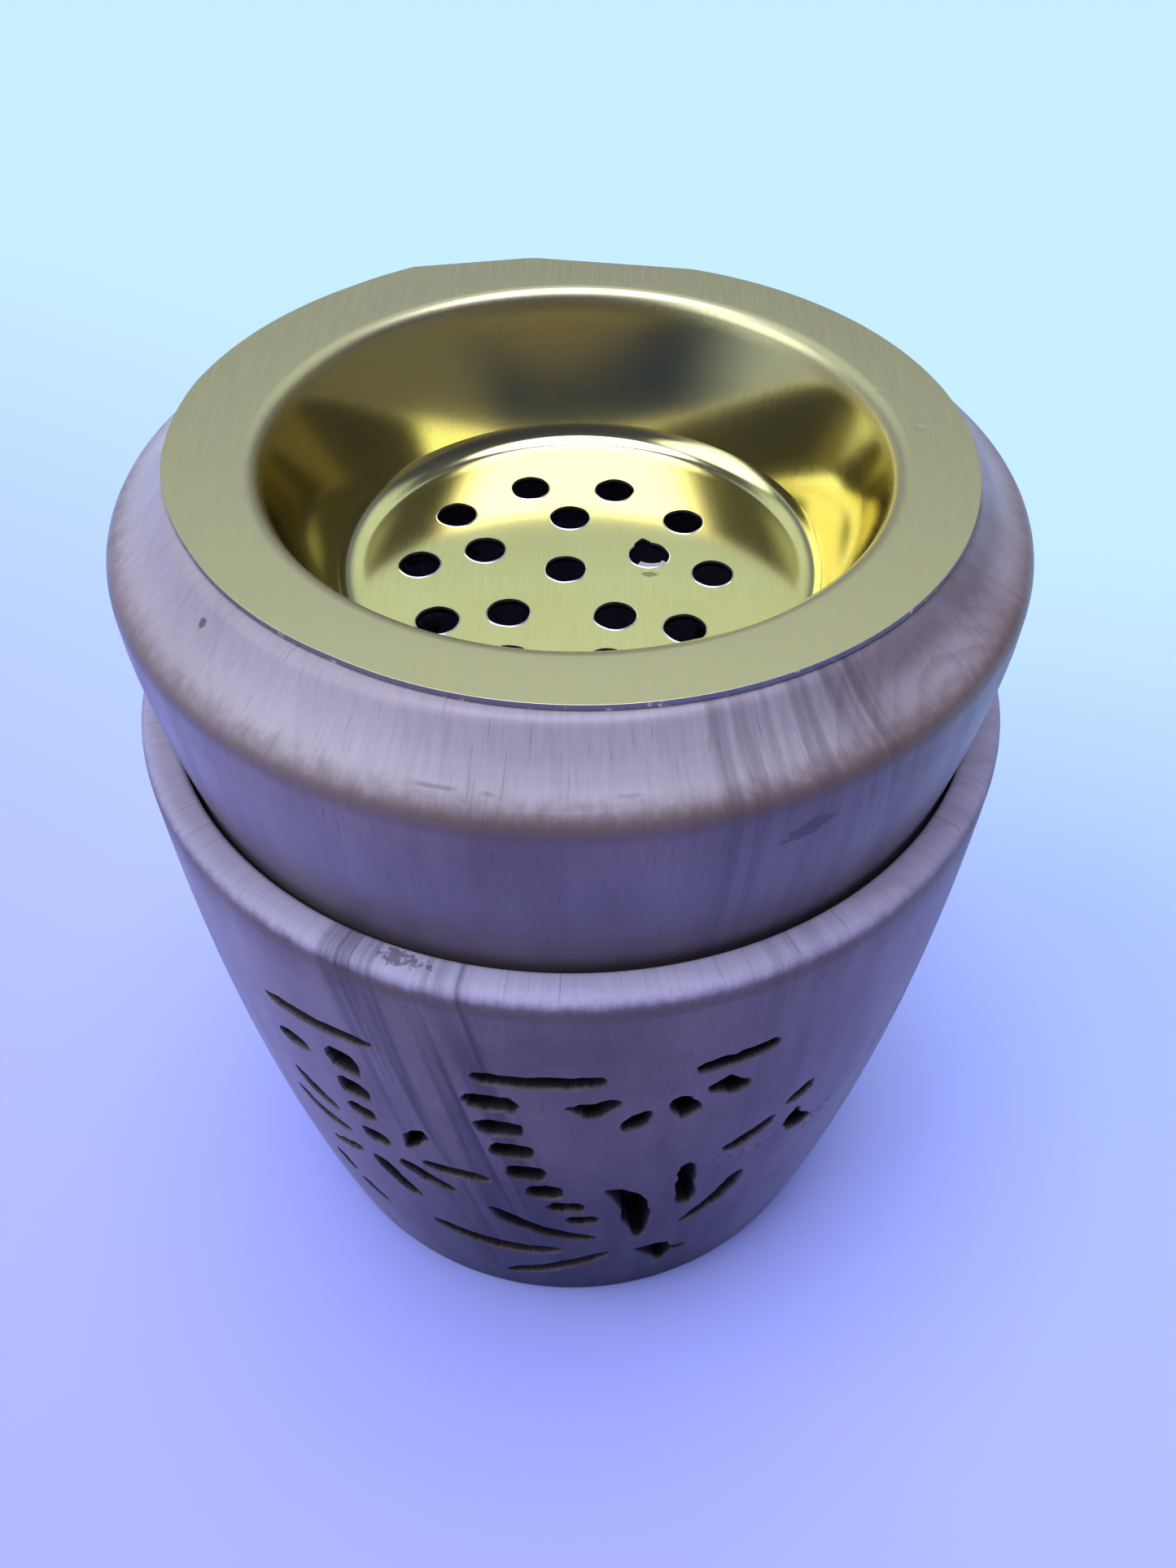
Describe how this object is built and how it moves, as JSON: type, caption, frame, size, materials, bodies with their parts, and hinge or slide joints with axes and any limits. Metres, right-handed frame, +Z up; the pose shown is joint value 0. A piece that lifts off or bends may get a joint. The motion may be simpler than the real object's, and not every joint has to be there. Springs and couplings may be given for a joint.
{
  "type": "incense burner",
  "caption": "Round wooden incense burner: a pierced turned cup, a turned collar that drops into its mouth, and a perforated metal dish for charcoal hung in the collar.",
  "frame": {"origin": "centre of the cup's foot, on the surface it stands on", "axes": "+Z up along the turning axis, -Y towards the middle of one carved scene"},
  "size_m": [0.1, 0.1, 0.1157],
  "materials": {
    "cup_wood": "sanded, waxed, matt",
    "collar_wood": "sanded, waxed, satin",
    "dish_metal": "gold-coloured, brushed flange, polished bowl"
  },
  "bodies": {
    "cup": {"carved_cup": "cup_wood"},
    "collar": {"turned_collar": "collar_wood"},
    "dish": {"burner_dish": "dish_metal"}
  },
  "joints": [
    {"name": "collar_lift", "type": "slide", "parent": "cup", "child": "collar", "axis": [0, 0, 1], "range_m": [0, 0.04]},
    {"name": "dish_lift", "type": "slide", "parent": "collar", "child": "dish", "axis": [0, 0, 1], "range_m": [0, 0.04]}
  ]
}
